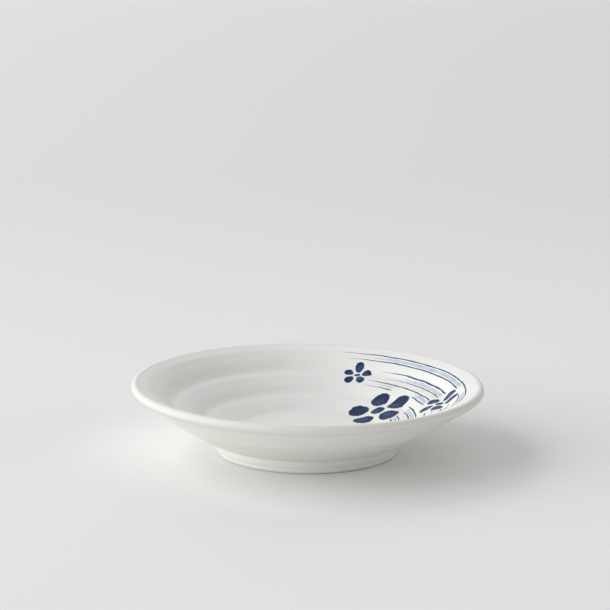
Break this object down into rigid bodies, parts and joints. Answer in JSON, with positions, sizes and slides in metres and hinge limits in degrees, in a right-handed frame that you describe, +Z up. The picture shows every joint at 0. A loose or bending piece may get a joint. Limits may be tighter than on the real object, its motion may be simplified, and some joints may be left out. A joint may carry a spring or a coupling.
{
  "type": "soy sauce dish",
  "caption": "Small round porcelain dipping dish with a flared wall, soft throwing rings inside, a low foot ring, and cobalt ripples and plum blossoms under a clear glaze",
  "frame": {"origin": "middle of the foot ring, on the table", "axes": "+Z up along the axis that the dish was turned on; +X towards the painted side, to the right in the picture; the picture looks along +Y"},
  "size_m": [0.1, 0.1, 0.02],
  "materials": {
    "biscuit": "matte",
    "glaze": "gloss",
    "cobalt": "matte",
    "pale_cobalt": "matte"
  },
  "bodies": {
    "root": {"porcelain_body": "biscuit", "glaze_coat": "glaze", "base_glaze": "glaze", "ripple_lines": "cobalt", "ripple_wash": "pale_cobalt", "plum_blossoms": "cobalt"}
  },
  "joints": []
}
